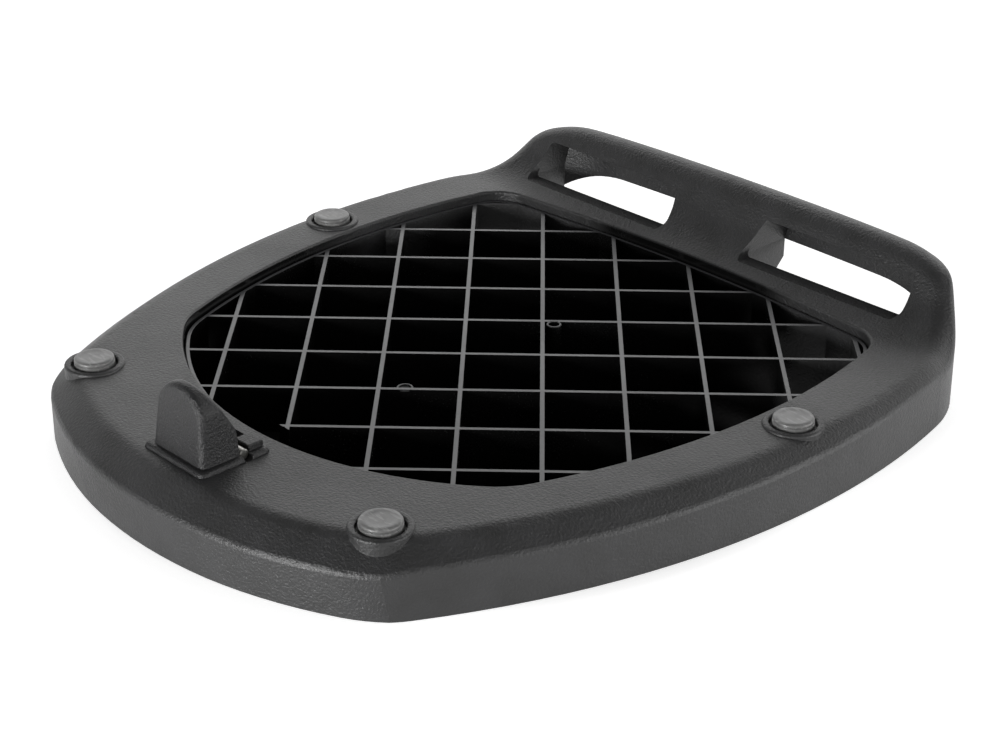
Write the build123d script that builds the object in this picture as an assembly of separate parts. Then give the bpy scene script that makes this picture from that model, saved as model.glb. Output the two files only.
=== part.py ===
from build123d import *
import math
import os

os.makedirs("parts", exist_ok=True)

# Top case mounting plate. Millimetres, +Z up.
# X runs across the plate, +Y towards the raised bar with the two hook slots.
# The origin is under the middle of the plate, on the rim that it stands on.

# Outline of the rim, seen from above
plate_length = 292.0
plate_width = 260.8
widest_y = 36.0
front_radius = 172.0
side_radius = 300.0
rear_radius = 1375.0
flank_cut = 41.0
front_corner_radius = 40.0
side_corner_radius = 55.0
bar_corner_radius = 40.0
skirt_draft = 1.0

# Outline of the deck inside the rim, seen from above
deck_front_inset = 10.0
deck_side_inset = 6.2
deck_rear_inset = 8.1
deck_widest_y = 43.0
deck_front_radius = 150.0
deck_front_corner = 40.0
deck_side_corner = 47.0
deck_bar_corner = 32.0

# Heights of the moulding
deck_height = 23.4
bar_height = 46.2

# Sloping border between the deck and the rim
slope_reach = 10.2
slope_fall = 0.78
deck_rounding = 8.0
ridge_rounding = 2.5

# Ramp up to the raised bar; the roundings are shares of its rise
ramp_set_back = 30.0
ramp_angle = 56.3
foot_share = 1.1
crest_share = 0.6
border_foot_share = 1.3
border_crest_share = 0.87

# Walls
wall = 3.0
skin = 3.0
border_drop = 8.8
stiffener = 1.8
stiffener_lift = 2.0
stiffener_count = 9

# Opening in the deck
opening_front_border = 46.45
opening_side_border = 26.8
opening_ledge = 9.3
opening_front_radius = 116.9
opening_widest_y = 35.75
opening_side_radius = 253.0
opening_rear_radius = 852.5
opening_front_corner = 31.0
opening_rear_corner = 15.0
opening_edge = 1.0

# Lattice of the opening
pitch = 27.5
rib_width = 1.5
lattice_drop = 3.6
lattice_bottom = 3.0
lattice_node_y = 30.25

# Rail around the lattice, close to the wall of the opening, and the floor between them
rail_gap = 0.8
rail_width = 1.2
groove_depth = 7.3
groove_floor = 2.5

# Hook slots in the ramp
slot_above_deck = 1.9
slot_below_bar = 7.7
slot_inner_low = 18.4
slot_inner_high = 22.4
slot_outer_border = 37.0
slot_outer_lean = 2.5
slot_low_corner = 2.5
slot_high_corner = 1.5
cheek = 3.0

# Underside of the bar
tail_length = 20.3
tail_angle = 45.0
arch_above_deck = 1.4
arch_side_border = 13.4
arch_corner = 52.0

# Rubber pads and their bosses
pad_rear_border = 14.9
pad_rear_y = 29.0
pad_front_border = 35.6
pad_front_x = 73.6
pad_proud = 3.0
pad_seat_depth = 1.0
pad_head_radius = 6.9
pad_chamfer = 0.8
pad_stem_radius = 2.9
pad_barb_radius = 4.2
pad_barb = 2.4
pad_clearance = 0.1
boss_radius = 10.2
boss_wall = 2.4
boss_proud = 0.9
boss_edge = 0.9
boss_foot = 6.0
pad_gap = 0.8

# Catch at the low end
catch_set_back = 15.9
catch_half_width = 13.3
catch_shoulder_half_width = 11.6
catch_shoulder_height = 18.1
catch_height = 25.6
catch_lean = 2.2
catch_crown_length = 4.0
catch_back_height = 11.0
catch_rounding = 2.4
catch_rear_rounding = 0.6
flange_margin = 2.2
flange_proud = 1.6
flange_corner = 2.6
flange_rounding = 1.5
pocket_depth = 1.6
pocket_clearance = 0.15
pocket_backing = 2.0
ear_thickness = 6.0
ear_height = 2.0
ear_inset = 0.6
ear_rounding = 0.5
claw_width = 12.0

# Steel cross pin of the catch
pin_set_back = 16.3
pin_radius = 1.75
pin_length = 26.0
pin_height = 1.2
pin_clearance = 0.05
pin_chamfer = 0.3

# Screws that hold the catch from below
screw_x = 7.5
screw_set_back = 7.5
screw_radius = 2.0
screw_length = 12.0
screw_head_radius = 4.0
screw_head = 2.6
screw_head_rounding = 1.0
recess_width = 0.9
recess_depth = 1.4
screw_clearance = 0.05
post_radius = 3.6
post_clearance = 0.15
post_gap = 0.3

# Values that follow from the sizes above
front_y = -plate_length / 2
bar_end_y = plate_length / 2
side_x = plate_width / 2
reach = plate_width
border_height = deck_height - border_drop
ramp_rise = bar_height - deck_height
ramp_foot_y = bar_end_y - ramp_set_back
ramp_slope = math.tan(math.radians(ramp_angle))
ramp_sine = math.sin(math.radians(ramp_angle))
ramp_cosine = math.cos(math.radians(ramp_angle))
tail_start_y = bar_end_y - tail_length
tail_slope = math.tan(math.radians(tail_angle))
rear_y = bar_end_y + tail_length * tail_slope * math.tan(math.radians(skirt_draft))
bar_inside_y = rear_y - wall
lattice_top = deck_height - lattice_drop
groove_floor_top = lattice_top - groove_depth
opening_front_y = front_y + opening_front_border
opening_half_width = side_x - opening_side_border
opening_rear_y = ramp_foot_y - opening_ledge
slot_bottom = deck_height + slot_above_deck
slot_top = bar_height - slot_below_bar
slot_outer_low = side_x - slot_outer_border
slot_outer_high = slot_outer_low - slot_outer_lean
pad_rear_x = side_x - pad_rear_border
pad_front_y = front_y + pad_front_border
pad_height = deck_height + pad_proud
catch_front_y = front_y + catch_set_back
catch_gap = 2 * (pin_radius + pin_clearance)
screw_y = catch_front_y + screw_set_back


def rim_plan(inset):
    """Outline of the rim, moved inwards by inset."""
    front = Pos(0, front_y + front_radius) * Circle(front_radius - inset)
    right = Pos(side_x - side_radius, widest_y) * Rot(0, 0, 180) * Circle(side_radius - inset)
    left = Pos(side_radius - side_x, widest_y) * Circle(side_radius - inset)
    rear = Pos(0, rear_y - rear_radius) * Rot(0, 0, -90) * Circle(rear_radius - inset)
    tip = side_x + rear_y - flank_cut - inset * math.sqrt(2)
    flank_base = tip - 2 * reach
    flanks = make_face(Polyline((0, tip), (-2 * reach, flank_base), (2 * reach, flank_base), close=True))
    plan = front & right & left & rear & flanks
    plan = fillet(plan.vertices().group_by(Axis.Y)[0], front_corner_radius - inset)
    plan = fillet(plan.vertices().group_by(Axis.Y)[-2], side_corner_radius - inset)
    return fillet(plan.vertices().group_by(Axis.Y)[-1], bar_corner_radius - inset)


def deck_plan(grow):
    """Outline of the deck, ramp and bar, moved outwards by grow."""
    radius = deck_front_radius + grow
    centre_y = front_y + deck_front_inset + deck_front_radius
    front = Pos(0, centre_y) * Circle(radius)
    field = Pos(0, centre_y + reach / 2) * Rectangle(2 * radius, reach)
    side = side_x - deck_side_inset - side_radius
    right = Pos(side, deck_widest_y) * Rot(0, 0, 180) * Circle(side_radius + grow)
    left = Pos(-side, deck_widest_y) * Circle(side_radius + grow)
    rear = Pos(0, rear_y - rear_radius) * Rot(0, 0, -90) * Circle(rear_radius - deck_rear_inset + grow)
    tip = side_x + rear_y - flank_cut + (grow - deck_rear_inset) * math.sqrt(2)
    flank_base = tip - 2 * reach
    flanks = make_face(Polyline((0, tip), (-2 * reach, flank_base), (2 * reach, flank_base), close=True))
    plan = (front + field) & right & left & rear & flanks
    plan = fillet(plan.vertices().filter_by(lambda v: v.Y < -plate_length / 4), deck_front_corner + grow)
    plan = fillet(plan.vertices().group_by(Axis.Y)[-2], deck_side_corner + grow)
    return fillet(plan.vertices().group_by(Axis.Y)[-1], deck_bar_corner + grow)


def opening_plan(inset):
    """Outline of the opening in the deck, moved inwards by inset."""
    centre_y = opening_front_y + opening_front_radius
    front = Pos(0, centre_y) * Circle(opening_front_radius - inset)
    field = Pos(0, centre_y + reach / 2) * Rectangle(2 * (opening_front_radius - inset), reach)
    side = opening_side_radius - opening_half_width
    right = Pos(-side, opening_widest_y) * Rot(0, 0, 180) * Circle(opening_side_radius - inset)
    left = Pos(side, opening_widest_y) * Circle(opening_side_radius - inset)
    rear_centre_y = opening_rear_y - opening_rear_radius
    rear = Pos(0, rear_centre_y) * Rot(0, 0, -90) * Circle(opening_rear_radius - inset)
    plan = (front + field) & right & left & rear
    plan = fillet(plan.vertices().group_by(Axis.Y)[-1], opening_rear_corner - inset)
    corners = plan.vertices().filter_by(lambda v: front_y < v.Y < centre_y - opening_front_corner)
    return fillet(corners, opening_front_corner - inset)


def side_profile(drop, shift, foot_rounding, crest_rounding):
    """Everything below the deck and the ramp, with the deck dropped and the ramp face moved back."""
    low = deck_height - drop
    high = bar_height - drop
    foot = ramp_foot_y + shift / ramp_sine - drop / ramp_slope
    crest = foot + (high - low) / ramp_slope
    start = front_y - reach
    end = rear_y + reach
    top = [(start, low), (foot, low), (crest, high), (end, high)]
    side = make_face(Plane.YZ * Polyline((start, -reach), *top, (end, -reach), close=True))
    side = fillet(side.vertices().sort_by_distance((0, foot, low))[0], foot_rounding)
    side = fillet(side.vertices().sort_by_distance((0, crest, high))[0], crest_rounding)
    return extrude(side, reach, both=True)


def deck_profile(depth):
    """Everything more than a depth below the face of the deck and the ramp."""
    return side_profile(depth, depth, foot_share * ramp_rise + depth, crest_share * ramp_rise - depth)


def border_profile():
    """Everything that lies far enough below the deck and the ramp to clear the sloping border."""
    shift = skin + (border_drop - skin) * ramp_cosine
    foot = border_foot_share * ramp_rise + skin
    return side_profile(border_drop, shift, foot, border_crest_share * ramp_rise - skin)


def prism(plan, low, high):
    """A plan outline raised from one height to another."""
    return Pos(0, 0, low) * extrude(plan, high - low)


def face_kind(face):
    """Which part of the outer form a face belongs to."""
    normal = face.normal_at()
    if face.center().Z < 1:
        return "foot"
    if abs(normal.Z) < 0.03:
        return "skirt"
    level = abs(normal.X) < 0.01 and normal.Y < 0.01 and normal.Z > 0.5
    if level and face.center().Y > front_y + deck_front_inset:
        return "deck"
    return "slope"


def edges_between(body, first, second):
    """Edges where faces of two kinds meet."""
    meeting = {}
    for face in body.faces():
        for edge in face.edges():
            place = tuple(round(value, 2) for value in edge.center())
            meeting.setdefault(place, []).append((face_kind(face), edge))
    found = [pair for pair in meeting.values() if {kind for kind, edge in pair} == {first, second}]
    return [pair[0][1] for pair in found]


def outer_body():
    """Solid outer form: the deck, ramp and bar inside their sloping border, on the skirt."""
    block = prism(deck_plan(slope_reach), 0, reach) & deck_profile(0)
    deck = block.faces().filter_by(lambda f: f.normal_at().Z > 0.999)
    deck = deck.filter_by(lambda f: abs(f.center().Z - deck_height) < 0.1)[0]
    front_edge = deck.edges().sort_by(Axis.Y)[0]
    block = chamfer(front_edge, slope_reach, slope_reach * slope_fall, reference=deck)
    body = block & extrude(rim_plan(0), bar_height, taper=skirt_draft)
    body = fillet(edges_between(body, "slope", "deck"), deck_rounding)
    return fillet(edges_between(body, "skirt", "slope"), ridge_rounding)


def hollow():
    """Space inside the shell, around the opening."""
    space = prism(rim_plan(wall), -1, reach) & border_profile()
    space += prism(deck_plan(-1), -1, reach) & deck_profile(skin)
    space -= prism(opening_plan(-wall), -2, reach)
    for x, y in pad_places().values():
        space -= Pos(x, y, boss_foot) * extrude(Circle(boss_radius), bar_height)
    for side in (-1, 1):
        inner = side * (slot_inner_low - cheek / 2 + (slot_inner_high - slot_inner_low) / 2)
        outer = side * (slot_outer_low + cheek / 2 - (slot_outer_low - slot_outer_high) / 2)
        inner_width = cheek + slot_inner_high - slot_inner_low
        outer_width = cheek + slot_outer_low - slot_outer_high
        for x, width in ((inner, inner_width), (outer, outer_width)):
            space -= Pos(x, opening_rear_y + reach / 2, 0) * Box(width, reach, 2 * reach)
    space -= Pos(0, 0, catch_underside()) * extrude(flange_plan(pocket_backing), bar_height)
    for turn in range(stiffener_count):
        angle = 180 / stiffener_count * (turn + 0.5)
        web = Rot(0, 0, angle) * Box(4 * reach, stiffener, 2 * reach)
        web &= Pos(0, tail_start_y - 2 * reach) * Box(4 * reach, 4 * reach, 4 * reach)
        space -= Pos(0, 0, reach + stiffener_lift) * web
    return space


def pad_places():
    """Names and places of the four rubber pads."""
    return {
        "rubber_pad_front_left": (-pad_front_x, pad_front_y),
        "rubber_pad_front_right": (pad_front_x, pad_front_y),
        "rubber_pad_rear_left": (-pad_rear_x, pad_rear_y),
        "rubber_pad_rear_right": (pad_rear_x, pad_rear_y),
    }


def lattice():
    """Ribs, rail and groove floor that fill the opening."""
    rail_plan = opening_plan(rail_gap)
    ribs = Part()
    count = math.ceil(plate_length / pitch / 2)
    for turn in (45, -45):
        for step in range(-count, count + 1):
            rib = Rot(0, 0, turn) * Pos(step * pitch, 0) * Rectangle(rib_width, 2 * reach)
            ribs += Pos(0, lattice_node_y) * rib
    node_step = pitch * math.sqrt(2)
    first_node_y = lattice_node_y - node_step * math.floor((lattice_node_y - opening_front_y) / node_step)
    ribs -= Pos(0, first_node_y - rib_width - reach / 2) * Rectangle(pitch, reach)
    field = prism(ribs & rail_plan, lattice_bottom, lattice_top)
    rail = prism(rail_plan - opening_plan(rail_gap + rail_width), lattice_bottom, lattice_top)
    shelf_plan = opening_plan(-wall / 2) - opening_plan(rail_gap + rail_width / 2)
    shelf = prism(shelf_plan, groove_floor_top - groove_floor, groove_floor_top)
    return field + rail + shelf


def slot_face(side, low):
    """Section of a hook slot seen along Y, with its sides carried down to a height."""
    corners = [(slot_inner_high, slot_top), (slot_outer_high, slot_top), (slot_outer_low, slot_bottom)]
    if low < slot_bottom:
        corners += [(slot_outer_low, low), (slot_inner_low, low)]
    corners += [(slot_inner_low, slot_bottom)]
    points = [(side * x, z) for x, z in corners]
    return make_face(Plane.XZ * Polyline(*points, close=True))


def along_plate(section, start, end):
    """A section in the XZ plane, carried along Y from start to end."""
    return Pos(0, start, 0) * extrude(section, end - start, dir=(0, 1, 0))


def cut_slots(body):
    """Hook slots through the ramp, open to the underside behind it."""
    inside = prism(rim_plan(wall), -1, reach)
    for side in (-1, 1):
        hole = slot_face(side, slot_bottom)
        hole = fillet(hole.vertices().group_by(Axis.Z)[0], slot_low_corner)
        hole = fillet(hole.vertices().group_by(Axis.Z)[-1], slot_high_corner)
        body -= along_plate(hole, opening_rear_y + wall, bar_inside_y) & inside
        shaft = along_plate(slot_face(side, -reach), ramp_foot_y, bar_inside_y) & inside
        body -= shaft & deck_profile(skin)
    return body


def cut_tail(body):
    """Rising underside below the bar, and the arch in its rear wall."""
    end = tail_start_y + reach
    wedge = Polyline((tail_start_y, 0), (end, reach * tail_slope), (end, 0), close=True)
    body -= extrude(make_face(Plane.YZ * wedge), reach, both=True)
    width = 2 * (side_x - arch_side_border)
    arch = Pos(0, deck_height + arch_above_deck - reach / 2) * Rectangle(width, reach)
    arch = fillet(arch.vertices().group_by(Axis.Y)[-1], arch_corner)
    arch = along_plate(Plane.XZ * arch, tail_start_y, rear_y + wall)
    return body - (arch - prism(rim_plan(wall), -reach, reach))


def add_bosses(body):
    """Moulded rings that hold the rubber pads."""
    seat = deck_height - pad_seat_depth
    ring_top = deck_height + boss_proud
    for x, y in pad_places().values():
        socket = Pos(x, y, seat) * extrude(Circle(pad_head_radius + pad_gap), bar_height)
        boss = Pos(x, y, boss_foot) * extrude(Circle(boss_radius), ring_top - boss_foot)
        boss -= socket
        body += fillet(boss.edges().group_by(Axis.Z)[-1], boss_edge)
        body -= socket
        body -= Pos(x, y, -1) * extrude(Circle(boss_radius - boss_wall), seat - skin + 1)
        body -= Pos(x, y, 0) * extrude(Circle(pad_stem_radius + pad_clearance), bar_height)
    return body


def flange_plan(margin):
    """Outline of the flange of the catch, grown by a margin."""
    start = catch_front_y - flange_margin
    end = ear_end_y() + flange_margin / 2
    plan = Rectangle(2 * (catch_half_width + flange_margin + margin), end - start + 2 * margin)
    plan = fillet(plan.vertices(), flange_corner + margin)
    return Pos(0, (start + end) / 2) * plan


def claw_window(low, high):
    """Way for the claw of a case lock, in from behind the pin and under it."""
    length = catch_gap + ear_thickness
    place = Pos(0, catch_end_y() + length / 2, low)
    return place * extrude(Rectangle(claw_width, length), high - low)


def cut_catch_seat(body):
    """Pocket for the flange of the catch, holes for its posts and the way for the claw."""
    floor = deck_height - pocket_depth
    body -= Pos(0, 0, floor) * extrude(flange_plan(pocket_clearance), bar_height)
    for side in (-1, 1):
        hole = Circle(post_radius + post_clearance)
        body -= Pos(side * screw_x, screw_y, border_height) * extrude(hole, bar_height)
    return body - claw_window(border_height, bar_height)


def mounting_plate():
    """The one moulding: skirt, deck, ramp, bar, lattice and bosses."""
    body = outer_body() - prism(opening_plan(0), -1, reach)
    mouth = body.edges().filter_by(lambda e: abs(e.center().Z - deck_height) < 0.01)
    inside = opening_plan(-1)
    mouth = mouth.filter_by(lambda e: inside.faces()[0].is_inside((e.center().X, e.center().Y, 0)))
    body = fillet(mouth, opening_edge)
    body -= hollow()
    body = add_bosses(body)
    body = cut_slots(body)
    body += lattice()
    body = cut_tail(body)
    return cut_catch_seat(body)


def rubber_pad(x, y):
    """Rubber plug: head, stem and barb under the skin."""
    seat = deck_height - pad_seat_depth
    head = Pos(0, 0, seat) * extrude(Circle(pad_head_radius), pad_height - seat)
    head = chamfer(head.edges().group_by(Axis.Z)[-1], pad_chamfer)
    stem_end = seat - skin - pad_barb
    stem = Pos(0, 0, stem_end) * extrude(Circle(pad_stem_radius), deck_height - stem_end)
    barb = Pos(0, 0, stem_end + pad_barb / 2 - pad_clearance)
    barb *= Cone(pad_stem_radius, pad_barb_radius, pad_barb)
    return Pos(x, y, 0) * (head + stem + barb)


def catch_end_y():
    """Rear face of the hood, in front of the pin."""
    return pin_y() - catch_gap / 2


def ear_end_y():
    """Rear face of the ear, behind the pin."""
    return pin_y() + catch_gap / 2 + ear_thickness


def pin_y():
    """Place of the cross pin along the plate."""
    return catch_front_y + pin_set_back


def catch_block():
    """Hood, ear, flange and posts of the catch, one moulding."""
    base = deck_height
    top = base + catch_height
    end = catch_end_y()
    lean_y = catch_front_y + catch_lean
    crown_y = lean_y + catch_crown_length
    side = make_face(
        Plane.YZ
        * Polyline(
            (catch_front_y, base),
            (lean_y, top),
            (crown_y, top),
            (end, base + catch_back_height),
            (end, base),
            close=True,
        )
    )
    hood = extrude(side, catch_half_width, both=True)
    shoulder = base + catch_shoulder_height
    narrow = catch_shoulder_half_width
    left_side = Line((-catch_half_width, base), (-narrow, shoulder))
    arch = ThreePointArc((-narrow, shoulder), (0, top), (narrow, shoulder))
    right_side = Line((narrow, shoulder), (catch_half_width, base))
    foot = Line((catch_half_width, base), (-catch_half_width, base))
    front = make_face(Plane.XZ * Curve([left_side, arch, right_side, foot]))
    hood &= extrude(front, reach, both=True)
    small = catch_rear_rounding
    upper = hood.edges().filter_by(lambda e: e.center().Z > base + small)
    hood = fillet(upper.filter_by(lambda e: e.center().Y < end - small), catch_rounding)
    upper = hood.edges().filter_by(lambda e: e.center().Z > base + small)
    hood = fillet(upper.filter_by(lambda e: e.center().Y > end - small / 2), small)
    ear_plan = Rectangle(2 * (catch_half_width - ear_inset), ear_thickness)
    ear_place = Pos(0, ear_end_y() - ear_thickness / 2, base)
    ear = ear_place * extrude(ear_plan, flange_proud + ear_height)
    ear = fillet(ear.edges().filter_by(lambda e: e.center().Z > base + 0.5), ear_rounding)
    flange = Pos(0, 0, base - pocket_depth) * extrude(flange_plan(0), pocket_depth + flange_proud)
    flange = fillet(flange.edges().group_by(Axis.Z)[-1], flange_rounding)
    block = hood + ear + flange
    post_end = catch_underside() + post_gap
    for sign in (-1, 1):
        block += Pos(sign * screw_x, screw_y, post_end) * extrude(Circle(post_radius), base - post_end)
        pilot = extrude(Circle(screw_radius + screw_clearance), screw_length)
        block -= Pos(sign * screw_x, screw_y, post_end) * pilot
    cradle = Plane.YZ * (Pos(pin_y(), base + pin_height) * Circle(pin_radius + pin_clearance))
    block -= extrude(cradle, reach, both=True)
    block -= Pos(0, pin_y(), base + pin_height + reach / 2) * Box(2 * reach, catch_gap, reach)
    block -= claw_window(base - pocket_depth - 1, base + reach)
    return block


def catch_pin():
    """Steel pin across the catch."""
    pin = extrude(Circle(pin_radius), pin_length / 2, both=True)
    pin = chamfer(pin.edges(), pin_chamfer)
    return Pos(0, pin_y(), deck_height + pin_height) * Rot(0, 90, 0) * pin


def catch_underside():
    """Underside of the backing behind the catch, where its screws bear."""
    return deck_height - skin - pocket_backing


def catch_screw(x):
    """Pan head screw from below, with a plain cross recess."""
    under = catch_underside()
    shank = Pos(0, 0, under) * extrude(Circle(screw_radius), screw_length)
    head = Pos(0, 0, under - screw_head) * extrude(Circle(screw_head_radius), screw_head)
    head = fillet(head.edges().group_by(Axis.Z)[0], screw_head_rounding)
    slot = Box(recess_width, screw_head_radius, 2 * recess_depth)
    recess = Pos(0, 0, under - screw_head) * (slot + Rot(0, 0, 90) * slot)
    return Pos(x, screw_y, 0) * (shank + head - recess)


parts = {"mounting_plate": mounting_plate()}
for name, place in pad_places().items():
    parts[name] = rubber_pad(*place)
parts["catch_block"] = catch_block()
parts["catch_pin"] = catch_pin()
for name, x in (("left", -screw_x), ("right", screw_x)):
    parts["catch_screw_" + name] = catch_screw(x)

for name, part in parts.items():
    export_step(part, "parts/" + name + ".step")
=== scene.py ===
"""Looks of the top case mounting plate: its finishes, rubber pads, lattice marks, stage and camera.

Run as a script in Blender. Values and helpers are in millimetres, but for those of the stage, in metres.
"""

import math

import bpy
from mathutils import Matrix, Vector


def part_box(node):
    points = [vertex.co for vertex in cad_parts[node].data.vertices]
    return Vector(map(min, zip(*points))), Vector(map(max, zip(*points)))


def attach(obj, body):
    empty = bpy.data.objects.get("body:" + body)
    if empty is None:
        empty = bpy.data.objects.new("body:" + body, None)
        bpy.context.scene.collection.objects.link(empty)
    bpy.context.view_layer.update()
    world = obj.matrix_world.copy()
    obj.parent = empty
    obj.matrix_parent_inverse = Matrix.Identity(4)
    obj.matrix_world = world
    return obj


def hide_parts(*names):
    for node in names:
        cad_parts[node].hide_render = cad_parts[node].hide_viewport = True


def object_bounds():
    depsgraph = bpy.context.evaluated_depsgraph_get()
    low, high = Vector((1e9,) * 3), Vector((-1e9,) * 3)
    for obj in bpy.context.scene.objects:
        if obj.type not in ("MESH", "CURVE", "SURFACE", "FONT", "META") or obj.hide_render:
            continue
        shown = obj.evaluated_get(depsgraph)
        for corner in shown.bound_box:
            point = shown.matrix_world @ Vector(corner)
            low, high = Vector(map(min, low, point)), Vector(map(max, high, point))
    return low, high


bl_info = {
    "name": "Top case mounting plate",
    "version": (1, 0, 0),
    "blender": (4, 5, 0),
    "location": "3D View > Sidebar > Mounting plate",
    "description": "Finishes and stage of a moulded plate that holds a top case",
    "category": "Object",
}

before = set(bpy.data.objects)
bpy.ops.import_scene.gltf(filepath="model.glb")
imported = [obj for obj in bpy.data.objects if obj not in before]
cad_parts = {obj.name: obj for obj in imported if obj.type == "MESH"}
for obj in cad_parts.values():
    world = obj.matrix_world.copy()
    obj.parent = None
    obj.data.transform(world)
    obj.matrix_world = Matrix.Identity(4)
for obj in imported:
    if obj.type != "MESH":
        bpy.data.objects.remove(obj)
CAD_BOX = [list(corner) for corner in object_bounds()]
MM = 0.001

# The camera stands where the photograph's does, worked out from the square lattice: place in millimetres
# and turn in degrees. Nothing nearer than CAMERA_NEAR, in metres, is drawn.
CAMERA_PLACE = (487.4, -463.6, 347.3)
CAMERA_TURN = (63.2666, -0.4634, 46.1006)
CAMERA_LENS = 77.14
CAMERA_SENSOR = 36.0
CAMERA_NEAR = 0.01

# Stage, in metres. The floor lies a hair under the rim that the plate stands on.
LAMP_DISTANCE = 1.3
FLOOR_DROP = 0.0002

# The way to the wall of the room that is brightest.
BRIGHT_SIDE = (0.26, 0.97, 0.0)

# The tops of the ribs all lie in one plane, as the plate's solid has them.
RIB_TOP = 19.8
RIB_TOP_SPREAD = 0.2

# Slow patterns of the plate's skin: the flow of the melt, and the cloudiness of the black.
FLOW_WIDTH = 38.0
CLOUD_WIDTH = 14.0

# The plain solid of a pad: the radii of its stem and barb, and the heights of its barb and head.
PAD_STEM = 2.9
PAD_BARB = 4.2
BARB_HEIGHT = 2.4
HEAD_HEIGHT = 4.0

# Marks on the lattice: name, place, outer radius, wall, drop below the ribs and depth of the bore.
LATTICE_MARKS = (
    ("ejector_sleeve", (4.6, 31.4), 2.7, 0.8, 0.0, 7.0),
    ("ejector_boss", (5.2, -40.2), 2.9, 0.8, 0.15, 0.6),
)

# Edges of a turned piece that bend by less than this are shaded smooth, in degrees.
SMOOTH_ANGLE = 40


# Colours and nodes.


def linear(hex_colour):
    """sRGB hex to the linear values that the shaders take."""
    out = []
    for i in (1, 3, 5):
        c = int(hex_colour[i : i + 2], 16) / 255
        out.append(c / 12.92 if c <= 0.04045 else ((c + 0.055) / 1.055) ** 2.4)
    return (*out, 1.0)


def node(tree, kind, settings=None, stops=(), **inputs):
    """Adds a node, sets its properties and a ramp's stops of place and grey, and sets or links its inputs.

    An input goes by its name, with _ for a space, or by its number, as n0, n1 and so on.
    """
    made = tree.nodes.new(kind)
    for key, value in (settings or {}).items():
        setattr(made, key, value)
    if stops:
        points = made.color_ramp.elements
        while len(points) < len(stops):
            points.new(0.5)
        for point, (place, grey) in zip(points, stops):
            point.position = place
            point.color = (grey, grey, grey, 1.0)
    for key, value in inputs.items():
        key = key.replace("_", " ")
        socket = made.inputs[int(key[1:])] if key[1:].isdigit() else made.inputs[key]
        if isinstance(value, bpy.types.NodeSocket):
            tree.links.new(value, socket)
        else:
            socket.default_value = value
    return made


def new_material(name):
    """An empty material, with its tree and its surface."""
    material = bpy.data.materials.new(name)
    material.use_nodes = True
    tree = material.node_tree
    tree.nodes.clear()
    shader = node(tree, "ShaderNodeBsdfPrincipled")
    output = node(tree, "ShaderNodeOutputMaterial", Surface=shader.outputs[0])
    output.is_active_output = True
    return material, tree, shader


def place_mm(tree):
    """Object coordinates in millimetres."""
    coordinates = node(tree, "ShaderNodeTexCoord").outputs["Object"]
    return node(tree, "ShaderNodeVectorMath", {"operation": "SCALE"}, n0=coordinates, Scale=1 / MM).outputs[0]


def rim_share(tree):
    """Distance from the middle as a share of the plate's half length and half width: about one at its rim."""
    half = [(high - low) / 2 for low, high in zip(*CAD_BOX)]
    place = node(tree, "ShaderNodeTexCoord").outputs["Object"]
    share = (1 / half[0], 1 / half[1], 0.0)
    scaled = node(tree, "ShaderNodeVectorMath", {"operation": "MULTIPLY"}, n0=place, n1=share)
    return node(tree, "ShaderNodeVectorMath", {"operation": "LENGTH"}, n0=scaled.outputs[0]).outputs["Value"]


# Materials.


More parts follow.
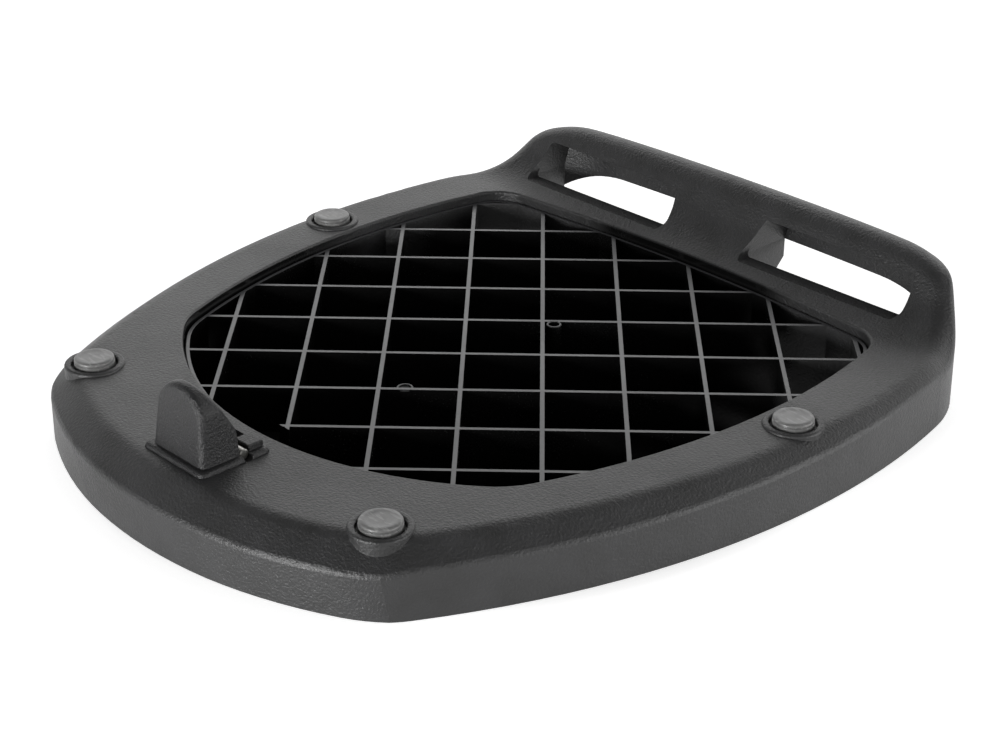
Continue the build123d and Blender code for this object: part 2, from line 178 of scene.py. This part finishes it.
def grained_plastic():
    """Glass-filled polyamide, moulded against spark-eroded steel: a sandy grain that spreads the light."""
    look = bpy.context.scene.plate_look
    material, tree, shader = new_material("glass filled polyamide, spark eroded grain")
    mm = place_mm(tree)
    multiply = {"operation": "MULTIPLY"}
    multiply_add = {"operation": "MULTIPLY_ADD"}
    # Grain is 0.2 to 0.4 mm across on a spark-eroded mould, too fine to show, so it is drawn 0.8 mm across.
    grains = 1 / look.grain_width
    grain = node(tree, "ShaderNodeTexNoise", Vector=mm, Scale=grains, Detail=3.0, Roughness=0.6)
    pits = node(tree, "ShaderNodeTexVoronoi", {"feature": "SMOOTH_F1"}, Vector=mm, Scale=0.8 * grains)
    height = node(
        tree,
        "ShaderNodeMath",
        multiply_add,
        n0=pits.outputs["Distance"],
        n1=0.5,
        n2=grain.outputs["Fac"],
    )
    # The flat tops of the ribs come off a milled face of the mould: smoother, so they catch more light.
    # Their lighter colour is a painted highlight.
    level = node(tree, "ShaderNodeSeparateXYZ", Vector=mm).outputs["Z"]
    same = {"operation": "COMPARE"}
    near = node(tree, "ShaderNodeMath", same, n0=level, n1=RIB_TOP, n2=RIB_TOP_SPREAD).outputs[0]
    facing = node(tree, "ShaderNodeNewGeometry").outputs["Normal"]
    upward = node(tree, "ShaderNodeSeparateXYZ", Vector=facing).outputs["Z"]
    flat = node(tree, "ShaderNodeMapRange", Value=upward, From_Min=0.9, From_Max=0.98).outputs[0]
    milled_and_highlit = node(tree, "ShaderNodeMath", multiply, n0=near, n1=flat).outputs[0]
    # In the opening the steep walls are drawn off polished steel: next to no grain, and a nearly black
    # painted shade.
    steep = node(tree, "ShaderNodeMapRange", Value=upward, From_Min=0.75, From_Max=0.5).outputs[0]
    inside = node(tree, "ShaderNodeMapRange", Value=rim_share(tree), From_Min=0.82, From_Max=0.78).outputs[0]
    polished_and_shaded = node(tree, "ShaderNodeMath", multiply, n0=steep, n1=inside).outputs[0]
    smooth = node(tree, "ShaderNodeMath", {"operation": "MAXIMUM"}, n0=milled_and_highlit, n1=polished_and_shaded).outputs[0]
    relief = node(tree, "ShaderNodeMath", multiply_add, n0=smooth, n1=-0.9, n2=1.0).outputs[0]
    height = node(tree, "ShaderNodeMath", multiply, n0=height.outputs[0], n1=relief)
    # Slow waves of the skin, from sink over the webs and the flow of the melt.
    flow = node(tree, "ShaderNodeTexNoise", Vector=mm, Scale=1 / FLOW_WIDTH, Detail=2.0, Roughness=0.5)
    shade = node(tree, "ShaderNodeTexNoise", Vector=mm, Scale=1 / CLOUD_WIDTH, Detail=4.0, Roughness=0.55)
    cloud = node(tree, "ShaderNodeValToRGB", stops=((0.3, 0.0), (0.75, 1.0)), Fac=shade.outputs["Fac"])
    base = node(
        tree,
        "ShaderNodeMix",
        {"data_type": "RGBA"},
        Factor=cloud.outputs["Color"],
        A=linear(look.plate_dark),
        B=linear(look.plate_light),
    )
    # Painted highlight: the flat rib tops take a lighter colour.
    base = node(
        tree,
        "ShaderNodeMix",
        {"data_type": "RGBA"},
        Factor=milled_and_highlit,
        A=base.outputs["Result"],
        B=linear(look.rib_top_painted_highlight),
    )
    # Painted shade: the steep walls in the opening take a nearly black colour.
    base = node(
        tree,
        "ShaderNodeMix",
        {"data_type": "RGBA"},
        Factor=polished_and_shaded,
        A=base.outputs["Result"],
        B=linear(look.wall_painted_shade),
    )
    rough = node(
        tree,
        "ShaderNodeMapRange",
        Value=flow.outputs["Fac"],
        From_Min=0.3,
        From_Max=0.7,
        To_Min=look.plate_roughness - 0.03,
        To_Max=look.plate_roughness + 0.04,
    )
    # Each grain is a little duller or shinier than the next.
    rough = node(tree, "ShaderNodeMath", multiply_add, n0=grain.outputs["Fac"], n1=0.24, n2=rough.outputs[0])
    rough = node(tree, "ShaderNodeMath", multiply_add, n0=milled_and_highlit, n1=-0.06, n2=rough.outputs[0])
    rough = node(tree, "ShaderNodeMath", multiply_add, n0=polished_and_shaded, n1=-0.25, n2=rough.outputs[0])
    rough = node(tree, "ShaderNodeMath", {"operation": "SUBTRACT"}, n0=rough.outputs[0], n1=0.12)
    waves = node(tree, "ShaderNodeBump", Strength=0.25, Distance=0.00035, Height=flow.outputs["Fac"])
    rounded = node(tree, "ShaderNodeBevel", {"samples": 4}, Radius=0.0002, Normal=waves.outputs[0])
    bump = node(
        tree,
        "ShaderNodeBump",
        Strength=look.grain_depth,
        Distance=0.00024,
        Height=height.outputs[0],
        Normal=rounded.outputs[0],
    )
    tree.links.new(base.outputs["Result"], shader.inputs["Base Color"])
    tree.links.new(rough.outputs[0], shader.inputs["Roughness"])
    tree.links.new(bump.outputs[0], shader.inputs["Normal"])
    shader.inputs["IOR"].default_value = 1.53
    return material


def pad_rubber():
    """Moulded EPDM rubber: a smooth skin, greyed by bloom and scuffed where the case stands on it."""
    look = bpy.context.scene.plate_look
    material, tree, shader = new_material("moulded EPDM rubber, bloomed skin")
    mm = place_mm(tree)
    # Bloom lies in patches a few millimetres across.
    bloom = node(tree, "ShaderNodeTexNoise", Vector=mm, Scale=1 / 3.2, Detail=4.0, Roughness=0.6)
    # Scuffs run across each top, about a millimetre wide and four times as long.
    stretched = node(tree, "ShaderNodeMapping", Vector=mm, Scale=(0.25, 1.0, 1.0), Rotation=(0, 0, 0.6))
    scuff = node(tree, "ShaderNodeTexNoise", Vector=stretched.outputs[0], Scale=0.8, Detail=2.0)
    marks = node(tree, "ShaderNodeValToRGB", stops=((0.54, 0.0), (0.64, 1.0)), Fac=scuff.outputs["Fac"])
    dusty = node(
        tree,
        "ShaderNodeMath",
        {"operation": "MULTIPLY_ADD", "use_clamp": True},
        n0=marks.outputs["Color"],
        n1=0.7,
        n2=bloom.outputs["Fac"],
    )
    base = node(
        tree,
        "ShaderNodeMix",
        {"data_type": "RGBA"},
        Factor=dusty.outputs[0],
        A=linear(look.pad_dark),
        B=linear(look.pad_light),
    )
    skin = node(tree, "ShaderNodeTexNoise", Vector=mm, Scale=2.2, Detail=3.0)
    rounded = node(tree, "ShaderNodeBevel", {"samples": 4}, Radius=0.0005)
    bump = node(
        tree,
        "ShaderNodeBump",
        Strength=0.35,
        Distance=0.00006,
        Height=skin.outputs["Fac"],
        Normal=rounded.outputs[0],
    )
    tree.links.new(base.outputs["Result"], shader.inputs["Base Color"])
    tree.links.new(bump.outputs[0], shader.inputs["Normal"])
    shader.inputs["Roughness"].default_value = 0.38
    shader.inputs["IOR"].default_value = 1.52
    return material


def catch_plastic():
    """Unfilled polyamide, moulded against finely eroded steel: a deeper black with a fine matt skin."""
    look = bpy.context.scene.plate_look
    material, tree, shader = new_material("polyamide, fine matt moulding")
    mm = place_mm(tree)
    # Its grain is about 0.1 mm across, too fine to show, so it is drawn 0.8 mm across.
    grain = node(tree, "ShaderNodeTexNoise", Vector=mm, Scale=1.3, Detail=4.0, Roughness=0.6)
    cloud = node(tree, "ShaderNodeTexNoise", Vector=mm, Scale=0.12, Detail=3.0)
    base = node(
        tree,
        "ShaderNodeMix",
        {"data_type": "RGBA"},
        Factor=cloud.outputs["Fac"],
        A=linear(look.catch_dark),
        B=linear(look.catch_light),
    )
    rounded = node(tree, "ShaderNodeBevel", {"samples": 4}, Radius=0.0004)
    bump = node(
        tree,
        "ShaderNodeBump",
        Strength=1.0,
        Distance=0.0004,
        Height=grain.outputs["Fac"],
        Normal=rounded.outputs[0],
    )
    tree.links.new(base.outputs["Result"], shader.inputs["Base Color"])
    tree.links.new(bump.outputs[0], shader.inputs["Normal"])
    shader.inputs["Roughness"].default_value = 0.42
    shader.inputs["IOR"].default_value = 1.47
    return material


def ground_steel():
    """Centreless ground steel pin: a dull shine with fine rings round its length."""
    material, tree, shader = new_material("carbon steel, centreless ground")
    mm = place_mm(tree)
    # The pin lies along X. Its rings are a few hundredths of a millimetre apart, too fine to show, so they
    # are drawn about 0.2 mm apart.
    along = node(tree, "ShaderNodeMapping", Vector=mm, Scale=(6.0, 0.4, 0.4))
    rings = node(tree, "ShaderNodeTexNoise", Vector=along.outputs[0], Scale=1.0, Detail=3.0)
    rough = node(tree, "ShaderNodeMapRange", Value=rings.outputs["Fac"], To_Min=0.2, To_Max=0.42)
    tint = node(
        tree,
        "ShaderNodeMix",
        {"data_type": "RGBA"},
        Factor=rings.outputs["Fac"],
        A=linear("#7c7b78"),
        B=linear("#a8a7a3"),
    )
    bump = node(tree, "ShaderNodeBump", Strength=0.2, Distance=0.00002, Height=rings.outputs["Fac"])
    tree.links.new(rough.outputs[0], shader.inputs["Roughness"])
    tree.links.new(tint.outputs["Result"], shader.inputs["Base Color"])
    tree.links.new(bump.outputs[0], shader.inputs["Normal"])
    shader.inputs["Metallic"].default_value = 1.0
    return material


def plated_steel():
    """Zinc plated steel screws: a soft bluish shine with cloudy passivation."""
    material, tree, shader = new_material("steel, zinc plated and passivated")
    mm = place_mm(tree)
    cloud = node(tree, "ShaderNodeTexNoise", Vector=mm, Scale=0.9, Detail=4.0, Roughness=0.6)
    tint = node(
        tree,
        "ShaderNodeMix",
        {"data_type": "RGBA"},
        Factor=cloud.outputs["Fac"],
        A=linear("#8d9196"),
        B=linear("#b9bbb8"),
    )
    rough = node(tree, "ShaderNodeMapRange", Value=cloud.outputs["Fac"], To_Min=0.28, To_Max=0.5)
    tree.links.new(rough.outputs[0], shader.inputs["Roughness"])
    tree.links.new(tint.outputs["Result"], shader.inputs["Base Color"])
    shader.inputs["Metallic"].default_value = 1.0
    return material


def finish(names, material):
    """Gives CAD nodes one material."""
    for name in names:
        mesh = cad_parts[name].data
        mesh.materials.clear()
        mesh.materials.append(material)


# Modelled pieces.


def turned(name, place, profile, sides=72):
    """A round piece, grown from the first ring of its profile by an extrusion and a resize for each next one.

    A profile is pairs of radius and height, in millimetres.
    """
    bpy.ops.object.select_all(action="DESELECT")
    radius, height = profile[0]
    centre = Vector((*place, height)) * MM
    bpy.ops.mesh.primitive_circle_add(vertices=sides, radius=radius * MM, fill_type="NGON", location=centre)
    piece = bpy.context.object
    piece.name = name
    bpy.ops.object.mode_set(mode="EDIT")
    bpy.ops.mesh.select_all(action="SELECT")
    for next_radius, next_height in profile[1:]:
        rise = (0, 0, (next_height - height) * MM)
        bpy.ops.mesh.extrude_region_move(TRANSFORM_OT_translate={"value": rise})
        growth = next_radius / radius
        bpy.ops.transform.resize(value=(growth, growth, 1))
        radius, height = next_radius, next_height
    bpy.ops.mesh.select_all(action="SELECT")
    bpy.ops.mesh.normals_make_consistent(inside=False)
    bpy.ops.object.mode_set(mode="OBJECT")
    bpy.ops.object.transform_apply(location=True, rotation=True, scale=True)
    bpy.ops.object.shade_smooth_by_angle(angle=math.radians(SMOOTH_ANGLE))
    return piece


def pad_profile(radius, bottom, top):
    """Radii and heights of a pad: barb and stem, then the head, with a groove round it and a shallow dish."""
    seat = top - HEAD_HEIGHT
    return (
        (PAD_STEM, bottom),
        (PAD_BARB, bottom + BARB_HEIGHT),
        (PAD_STEM, bottom + BARB_HEIGHT),
        (PAD_STEM, seat),
        (radius - 0.2, seat),
        (radius, seat + 0.3),
        (radius, top - 1.55),
        (radius - 0.42, top - 1.4),
        (radius - 0.42, top - 1.2),
        (radius - 0.12, top - 1.05),
        (radius - 0.12, top - 0.65),
        (radius - 0.36, top - 0.28),
        (radius - 0.8, top - 0.06),
        (radius - 1.3, top),
        (radius - 2.0, top - 0.02),
        (radius - 2.6, top - 0.12),
        (radius - 3.4, top - 0.16),
        (0.5, top - 0.14),
    )


def ring_profile(radius, wall, drop, bore):
    """Radii and heights of a moulded ring that stands among the ribs, with softened rims."""
    top = RIB_TOP - drop
    return (
        (radius, top - bore - 2.0),
        (radius, top - 0.25),
        (radius - 0.25, top),
        (radius - wall + 0.2, top),
        (radius - wall, top - 0.2),
        (radius - wall, top - bore),
        (0.3, top - bore),
    )


# Stage.


def floor_paper():
    """White background paper with a little light of its own, and a deep painted shadow where the plate covers
    it.
    """
    stage = bpy.context.scene.plate_stage
    material, tree, shader = new_material("white background paper")
    share = rim_share(tree)
    open_floor = node(tree, "ShaderNodeMapRange", Value=share, From_Min=0.72, From_Max=1.02).outputs[0]
    # Painted shadow: under the plate the paper takes a near-black colour.
    base = node(
        tree,
        "ShaderNodeMix",
        {"data_type": "RGBA"},
        Factor=open_floor,
        A=linear(stage.painted_shadow_colour),
        B=linear(stage.floor_colour),
    )
    tree.links.new(base.outputs["Result"], shader.inputs["Base Color"])
    shader.inputs["Roughness"].default_value = 0.9
    shader.inputs["Specular IOR Level"].default_value = 0.1
    # The glow is seen straight, in gloss and through glass, and it lights nothing else.
    path = node(tree, "ShaderNodeLightPath").outputs
    seen = node(tree, "ShaderNodeMath", n0=path["Is Camera Ray"], n1=path["Is Glossy Ray"]).outputs[0]
    at_most_one = {"use_clamp": True}
    seen = node(tree, "ShaderNodeMath", at_most_one, n0=seen, n1=path["Is Transmission Ray"]).outputs[0]
    multiply = {"operation": "MULTIPLY"}
    lit = node(tree, "ShaderNodeMath", multiply, n0=seen, n1=open_floor).outputs[0]
    strength = node(tree, "ShaderNodeMath", multiply, n0=lit, n1=stage.floor_glow).outputs[0]
    glow = node(tree, "ShaderNodeEmission", Color=(1, 1, 1, 1), Strength=strength)
    both = node(tree, "ShaderNodeAddShader", n0=shader.outputs[0], n1=glow.outputs[0])
    output = next(n for n in tree.nodes if n.type == "OUTPUT_MATERIAL")
    tree.links.new(both.outputs[0], output.inputs["Surface"])
    return material


def surroundings(scene):
    """A white room, dim overhead and brightest beyond the bar."""
    world = bpy.data.worlds.new("white room, dim ceiling")
    world.use_nodes = True
    tree = world.node_tree
    tree.nodes.clear()
    direction = node(tree, "ShaderNodeTexCoord").outputs["Generated"]
    parts = node(tree, "ShaderNodeSeparateXYZ", Vector=direction)
    # The place of a stop is the sine of its angle above the horizon.
    heights = ((0.0, 0.6), (0.2, 0.8), (0.44, 0.9), (0.62, 0.36), (0.9, 0.18))
    wall = node(tree, "ShaderNodeValToRGB", stops=heights, Fac=parts.outputs["Z"]).outputs["Color"]
    dot = {"operation": "DOT_PRODUCT"}
    beyond = node(tree, "ShaderNodeVectorMath", dot, n0=direction, n1=BRIGHT_SIDE).outputs["Value"]
    side = node(
        tree,
        "ShaderNodeMapRange",
        Value=beyond,
        From_Min=-1.0,
        From_Max=1.0,
        To_Min=0.25,
        To_Max=1.75,
    )
    background = node(tree, "ShaderNodeBackground", Color=wall, Strength=side.outputs[0])
    node(tree, "ShaderNodeOutputWorld", Surface=background.outputs[0])
    scene.world = world


def lamp(name, azimuth, elevation, size, brightness):
    """A soft box that faces the object, at an azimuth from +X and an elevation in degrees.

    Its size is its width and height in metres.
    """
    data = bpy.data.lights.new(name, "AREA")
    data.shape = "RECTANGLE"
    data.size, data.size_y = size
    data.energy = brightness * math.pi * size[0] * size[1]
    made = bpy.data.objects.new(name, data)
    around = math.radians(azimuth)
    up = math.radians(elevation)
    towards = Vector((math.cos(around) * math.cos(up), math.sin(around) * math.cos(up), math.sin(up)))
    made.location = towards * LAMP_DISTANCE
    made.rotation_mode = "QUATERNION"
    made.rotation_quaternion = towards.to_track_quat("Z", "Y")
    bpy.context.scene.collection.objects.link(made)


def set_camera(scene):
    """The camera of the photograph."""
    data = bpy.data.cameras.new("camera")
    data.lens = CAMERA_LENS
    data.sensor_width = CAMERA_SENSOR
    data.clip_start = CAMERA_NEAR
    camera = bpy.data.objects.new("camera", data)
    camera.location = Vector(CAMERA_PLACE) * MM
    camera.rotation_euler = [math.radians(turn) for turn in CAMERA_TURN]
    scene.collection.objects.link(camera)
    scene.camera = camera


# Settings.


class PlateLook(bpy.types.PropertyGroup):
    """Colours and grain of the object."""

    plate_dark: bpy.props.StringProperty(
        name="Plate, dark",
        description="sRGB hex of the darker plastic",
        default="#171717",
    )
    plate_light: bpy.props.StringProperty(
        name="Plate, light",
        description="sRGB hex of the lighter plastic",
        default="#252526",
    )
    catch_dark: bpy.props.StringProperty(
        name="Catch, dark",
        description="sRGB hex of the darker catch",
        default="#08080a",
    )
    catch_light: bpy.props.StringProperty(
        name="Catch, light",
        description="sRGB hex of the lighter catch",
        default="#121213",
    )
    # A painted highlight: the lighter colour of the flat rib tops.
    rib_top_painted_highlight: bpy.props.StringProperty(
        name="Rib tops",
        description="sRGB hex of the tops of the ribs",
        default="#38383a",
    )
    # A painted shade: the nearly black colour of the walls in the opening.
    wall_painted_shade: bpy.props.StringProperty(
        name="Inner walls",
        description="sRGB hex of the walls in the opening",
        default="#080808",
    )
    pad_dark: bpy.props.StringProperty(
        name="Pad, dark",
        description="sRGB hex of bare rubber",
        default="#404040",
    )
    pad_light: bpy.props.StringProperty(
        name="Pad, light",
        description="sRGB hex of bloomed rubber",
        default="#747473",
    )
    grain_width: bpy.props.FloatProperty(
        name="Grain width",
        description="Width of a grain of the skin, in mm",
        default=0.8,
        min=0.2,
        max=3.0,
    )
    grain_depth: bpy.props.FloatProperty(
        name="Grain depth",
        description="Strength of the grain",
        default=1.0,
        min=0.0,
        max=1.0,
        subtype="FACTOR",
    )
    plate_roughness: bpy.props.FloatProperty(
        name="Roughness",
        description="Roughness of the plastic",
        default=0.46,
        min=0.0,
        max=1.0,
        subtype="FACTOR",
    )


class PlateStage(bpy.types.PropertyGroup):
    """Floor and lamps."""

    floor_size: bpy.props.FloatProperty(
        name="Floor",
        description="Width of the floor",
        default=12.0,
        min=2.0,
        unit="LENGTH",
    )
    floor_colour: bpy.props.StringProperty(
        name="Floor colour",
        description="sRGB hex of the floor",
        default="#f2f2f2",
    )
    # A painted shadow: the colour of the paper under the plate.
    painted_shadow_colour: bpy.props.StringProperty(
        name="Shade",
        description="sRGB hex of the floor under the plate",
        default="#0c0c0c",
    )
    floor_glow: bpy.props.FloatProperty(
        name="Floor glow",
        description="Light that the floor adds of its own",
        default=0.62,
        min=0.0,
    )
    strip_light: bpy.props.FloatProperty(
        name="Low strip",
        description="Brightness of the strip in front",
        default=62.0,
        min=0.0,
    )
    window_light: bpy.props.FloatProperty(
        name="Window",
        description="Brightness of the window at the back left",
        default=1.3,
        min=0.0,
    )
    edge_light: bpy.props.FloatProperty(
        name="Edge strip",
        description="Brightness of the strip at the back right",
        default=15.0,
        min=0.0,
    )


# Operators.


class FinishPlate(bpy.types.Operator):
    """Gives the moulding its grained black plastic"""

    bl_idname = "plate.finish_plate"
    bl_label = "Plate"

    def execute(self, context):
        finish(["mounting_plate"], grained_plastic())
        return {"FINISHED"}


class AddLatticeMarks(bpy.types.Operator):
    """Adds the rings that the mould's ejectors leave on the lattice"""

    bl_idname = "plate.lattice_marks"
    bl_label = "Lattice marks"

    def execute(self, context):
        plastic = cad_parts["mounting_plate"].data.materials[0]
        for name, place, radius, wall, drop, bore in LATTICE_MARKS:
            ring = turned(name, place, ring_profile(radius, wall, drop, bore), sides=40)
            ring.data.materials.append(plastic)
            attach(ring, "root")
        return {"FINISHED"}


class BuildPads(bpy.types.Operator):
    """Turns the four rubber pads, each in the place of its plain solid"""

    bl_idname = "plate.pads"
    bl_label = "Pads"

    def execute(self, context):
        rubber = pad_rubber()
        plain_pads = [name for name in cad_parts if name.startswith("rubber_pad")]
        for name in plain_pads:
            low, high = [[length / MM for length in corner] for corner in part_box(name)]
            centre = [(a + b) / 2 for a, b in zip(low[:2], high[:2])]
            radius = (high[0] - low[0]) / 2
            head = turned(name + "_head", centre, pad_profile(radius, low[2], high[2]))
            head.data.materials.append(rubber)
            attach(head, "root")
            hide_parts(name)
        return {"FINISHED"}


class FinishCatch(bpy.types.Operator):
    """Gives the catch its plastic, and its pin and screws their steel"""

    bl_idname = "plate.finish_catch"
    bl_label = "Catch"

    def execute(self, context):
        finish(["catch_block"], catch_plastic())
        finish(["catch_pin"], ground_steel())
        finish(["catch_screw_left", "catch_screw_right"], plated_steel())
        return {"FINISHED"}


class BuildStage(bpy.types.Operator):
    """Lays the floor, hangs the lamps and sets up the camera"""

    bl_idname = "plate.stage"
    bl_label = "Stage"

    def execute(self, context):
        stage = context.scene.plate_stage
        bpy.ops.object.select_all(action="DESELECT")
        bpy.ops.mesh.primitive_plane_add(size=stage.floor_size, location=(0, 0, -FLOOR_DROP))
        floor = context.object
        floor.name = "floor"
        floor.data.materials.append(floor_paper())
        surroundings(context.scene)
        lamp("low strip", -86, 7, (0.3, 0.3), stage.strip_light)
        lamp("window", 138, 28, (1.7, 0.6), stage.window_light)
        lamp("edge strip", 26, 6, (0.8, 0.16), stage.edge_light)
        set_camera(context.scene)
        context.scene.view_settings.view_transform = "Standard"
        return {"FINISHED"}


class PlatePanel(bpy.types.Panel):
    """Settings and steps of the mounting plate"""

    bl_idname = "VIEW3D_PT_plate"
    bl_label = "Mounting plate"
    bl_space_type = "VIEW_3D"
    bl_region_type = "UI"
    bl_category = "Mounting plate"

    def draw(self, context):
        for group in (context.scene.plate_look, context.scene.plate_stage):
            box = self.layout.box()
            for name in group.__annotations__:
                box.prop(group, name)
        for step in STEPS:
            self.layout.operator(step.bl_idname)


STEPS = (FinishPlate, AddLatticeMarks, BuildPads, FinishCatch, BuildStage)
CLASSES = (PlateLook, PlateStage, *STEPS, PlatePanel)


def register():
    for made in CLASSES:
        bpy.utils.register_class(made)
    bpy.types.Scene.plate_look = bpy.props.PointerProperty(type=PlateLook)
    bpy.types.Scene.plate_stage = bpy.props.PointerProperty(type=PlateStage)


def unregister():
    del bpy.types.Scene.plate_stage
    del bpy.types.Scene.plate_look
    for made in reversed(CLASSES):
        bpy.utils.unregister_class(made)


def main():
    register()
    bpy.ops.plate.finish_plate()
    bpy.ops.plate.lattice_marks()
    bpy.ops.plate.pads()
    bpy.ops.plate.finish_catch()
    bpy.ops.plate.stage()


if __name__ == "__main__":
    main()
